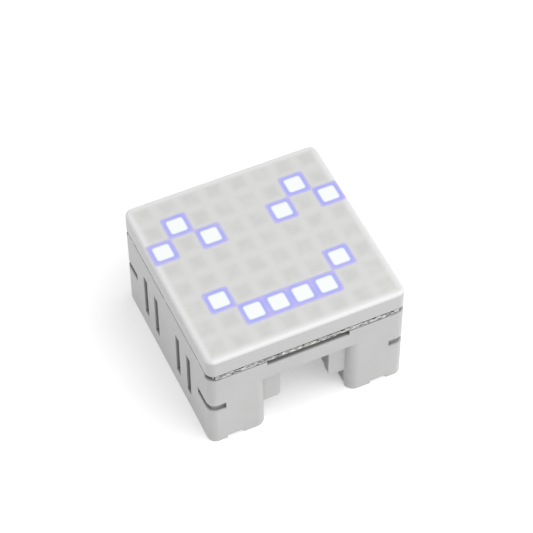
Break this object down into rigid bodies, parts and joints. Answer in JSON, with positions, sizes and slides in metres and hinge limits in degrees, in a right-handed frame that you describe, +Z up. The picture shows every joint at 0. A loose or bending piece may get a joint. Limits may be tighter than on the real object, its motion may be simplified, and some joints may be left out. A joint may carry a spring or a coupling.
{
  "type": "led dot matrix",
  "caption": "Square light matrix unit: milky diffuser cap over a light grid and LED board, on a housing with hollow corner legs and cable openings at two sides.",
  "frame": {"origin": "centre of the footprint, on the plane that the legs stand on", "axes": "+Z up through the diffuser's face, -Y towards the cable input side, +Y towards the cable output side, +X to the right seen from the input side"},
  "size_m": [0.048, 0.048, 0.0298],
  "materials": {
    "housing_plastic": "fine moulded texture, very light warm grey",
    "steel": "zinc-plated",
    "circuit_board": "black solder mask",
    "led_package": "white reflector body",
    "ceramic_chip": "ceramic with tinned ends",
    "socket_plastic": "natural nylon",
    "tinned_metal": "tin plated",
    "tantalum_case": "moulded epoxy",
    "chip_case": "moulded epoxy",
    "grid_plastic": "opaque white",
    "diffuser": "milky translucent satin plastic, some windows lit"
  },
  "bodies": {
    "root": {"base_housing": "housing_plastic", "case_screws": "steel", "led_board": "circuit_board", "leds_row_1": "led_package", "leds_row_2": "led_package", "leds_row_3": "led_package", "leds_row_4": "led_package", "leds_row_5": "led_package", "leds_row_6": "led_package", "leds_row_7": "led_package", "leds_row_8": "led_package", "capacitors_row_1": "ceramic_chip", "capacitors_row_2": "ceramic_chip", "capacitors_row_3": "ceramic_chip", "capacitors_row_4": "ceramic_chip", "capacitors_row_5": "ceramic_chip", "capacitors_row_6": "ceramic_chip", "capacitors_row_7": "ceramic_chip", "capacitors_row_8": "ceramic_chip", "socket_in_housing": "socket_plastic", "socket_in_pins": "tinned_metal", "socket_out_housing": "socket_plastic", "socket_out_pins": "tinned_metal", "bulk_capacitor_in": "tantalum_case", "bulk_capacitor_out": "tantalum_case", "signal_buffer": "chip_case", "signal_resistors": "chip_case", "light_grid": "grid_plastic", "diffuser_cap": "diffuser"}
  },
  "joints": []
}
